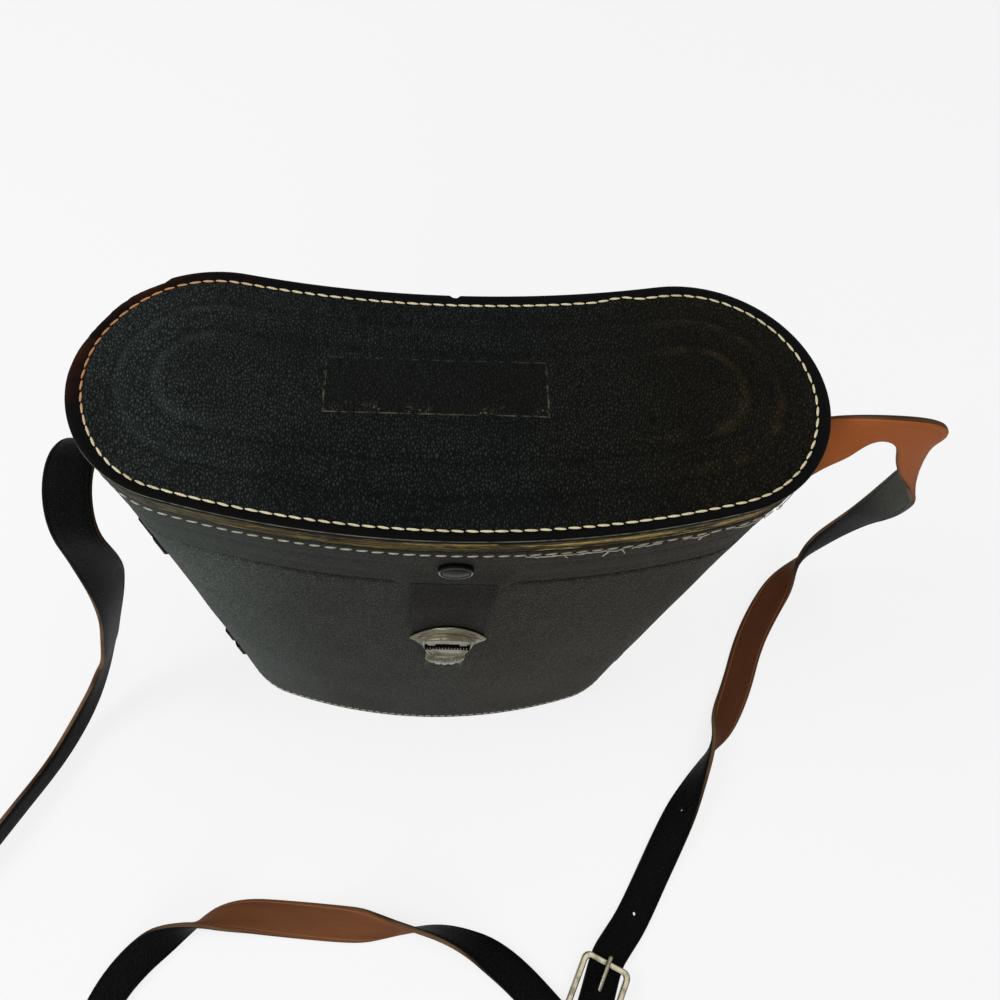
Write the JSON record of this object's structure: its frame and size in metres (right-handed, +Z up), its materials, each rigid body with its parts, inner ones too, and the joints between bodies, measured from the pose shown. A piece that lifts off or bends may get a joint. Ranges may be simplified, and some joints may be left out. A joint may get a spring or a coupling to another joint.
{
  "type": "binocular hard case",
  "caption": "Tapered bean-shaped hard leather case for binoculars with a hinged lid, a press latch on a leather hasp and a buckled carry strap.",
  "frame": {"origin": "middle of the case's base, on the surface it stands on; the free strap lies outside this measure", "axes": "+Z up from the base to the lid, +X to the right along the long side, -Y towards the latch at the front"},
  "size_m": [0.4485, 0.3767, 0.2316],
  "materials": {
    "black_leather": "satin",
    "body_leather": "satin",
    "tan_leather": "satin",
    "board": "matte",
    "felt": "matte",
    "nickel": "polished",
    "black_enamel": "gloss",
    "brass": "satin",
    "spring_steel": "satin"
  },
  "bodies": {
    "case": {"body_shell": "body_leather", "base_panel": "body_leather", "bottom_pad": "felt", "inner_liner": "board", "body_lining": "felt", "hinge_leaf_case": "black_leather", "lock_base": "nickel", "lock_rivets": "brass", "catch_spring": "spring_steel", "strap_loop_lower_left": "black_leather", "strap_loop_upper_left": "black_leather", "strap_loop_lower_right": "black_leather", "strap_loop_upper_right": "black_leather", "loop_rivets": "black_enamel", "anchor_rivets": "black_enamel", "strap_side_left": "black_leather", "strap_side_right": "black_leather", "strap_short": "black_leather", "strap_long": "black_leather", "strap_tip": "black_leather", "strap_eye": "black_leather", "strap_keeper": "black_leather", "buckle_frame": "nickel"},
    "lid": {"lid_skirt": "body_leather", "lid_welt": "tan_leather", "lid_top": "black_leather", "lid_board": "board", "lid_lining": "felt", "hinge_leaf_lid": "black_leather", "hasp_tab_root": "black_leather", "hasp_rivet": "nickel", "hasp_rivet_cap": "black_enamel", "hasp_washer": "brass"},
    "hasp": {"hasp_tab": "black_leather", "hasp_plate": "nickel"},
    "catch": {"catch_slider": "nickel"},
    "prong": {"buckle_prong": "nickel"}
  },
  "joints": [
    {"name": "lid_hinge", "type": "hinge", "parent": "case", "child": "lid", "pos_m": [0, 0.0438, 0.192], "axis": [-1, 0, 0], "range_deg": [0, 150]},
    {"name": "hasp_hinge", "type": "hinge", "parent": "lid", "child": "hasp", "pos_m": [0.0025, -0.0398, 0.1934], "axis": [-1, 0, 0], "range_deg": [0, 110]},
    {"name": "catch_slide", "type": "slide", "parent": "case", "child": "catch", "axis": [0, 0, -1], "range_m": [0, 0.002], "stiffness_N_per_m": 300, "springref_m": -0.001, "deforming": ["catch_spring"]},
    {"name": "prong_hinge", "type": "hinge", "parent": "case", "child": "prong", "pos_m": [0.06948, -0.16657, 0.0071], "axis": [0.8988, -0.4384, 0], "range_deg": [0, 20]}
  ]
}
